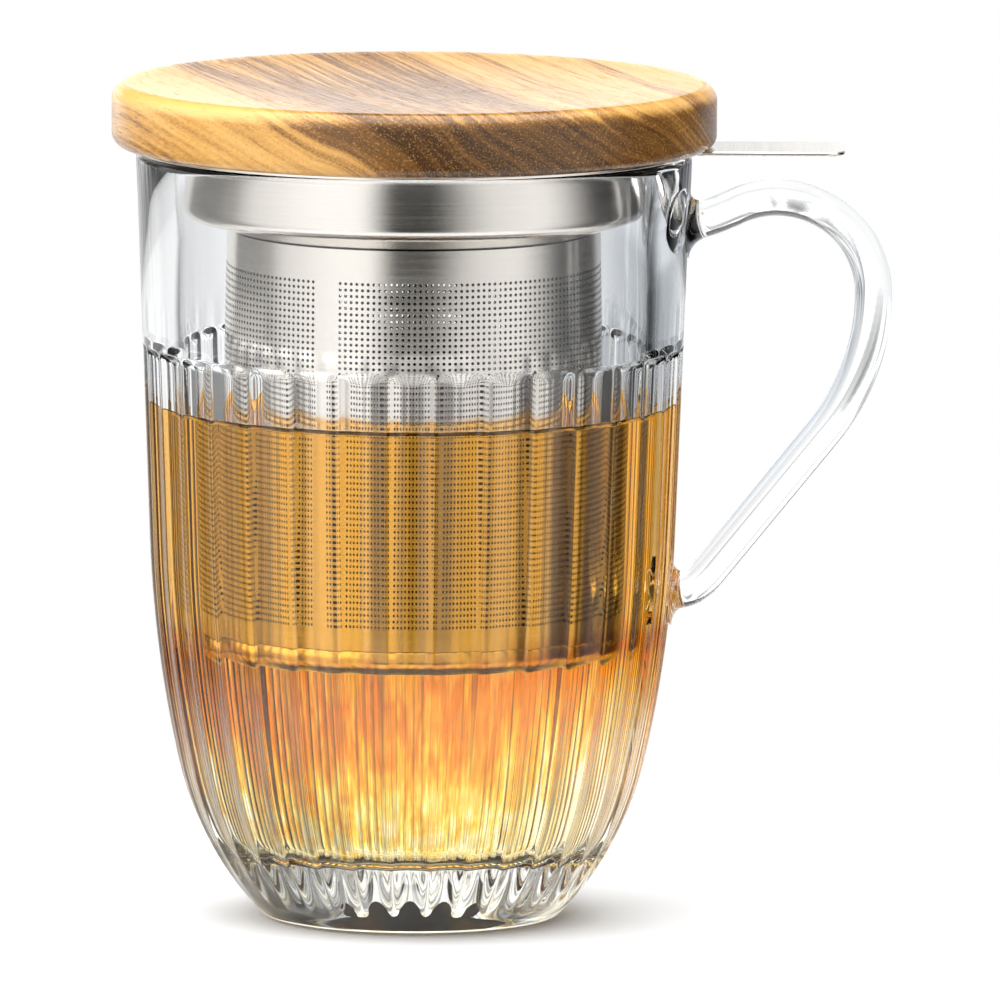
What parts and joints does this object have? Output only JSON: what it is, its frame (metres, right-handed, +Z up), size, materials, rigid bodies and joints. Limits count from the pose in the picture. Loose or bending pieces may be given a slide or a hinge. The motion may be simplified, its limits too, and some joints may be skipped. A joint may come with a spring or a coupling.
{
  "type": "tea mug",
  "caption": "Fluted clear glass tea mug with a loop handle, a lift-out perforated steel infuser basket with a flat tab, and a turned wooden lid with a soft seal.",
  "frame": {"origin": "centre of the flat underside, on the mug's axis, at table level", "axes": "+Z up along the mug's axis, +X towards the handle and the lifting tab, -Y towards the side the picture shows"},
  "size_m": [0.1214, 0.094, 0.1303],
  "materials": {
    "glass": "clear pressed glass, fire polished",
    "steel": "spun stainless sheet, fine brushing round the axis",
    "sieve": "finely perforated stainless sheet",
    "wood": "oiled warm brown wood with darker diagonal bands",
    "seal": "translucent white silicone"
  },
  "bodies": {
    "mug": {"mug_body": "glass", "mug_handle": "glass"},
    "infuser": {"infuser_collar": "steel", "infuser_tab": "steel", "infuser_sieve": "sieve", "infuser_base": "steel"},
    "lid": {"lid_disc": "wood", "lid_seal": "seal"}
  },
  "joints": [
    {"name": "infuser_lift", "type": "slide", "parent": "mug", "child": "infuser", "axis": [0, 0, 1], "range_m": [0, 0.09]},
    {"name": "lid_lift", "type": "slide", "parent": "infuser", "child": "lid", "axis": [0, 0, 1], "range_m": [0, 0.04]}
  ]
}
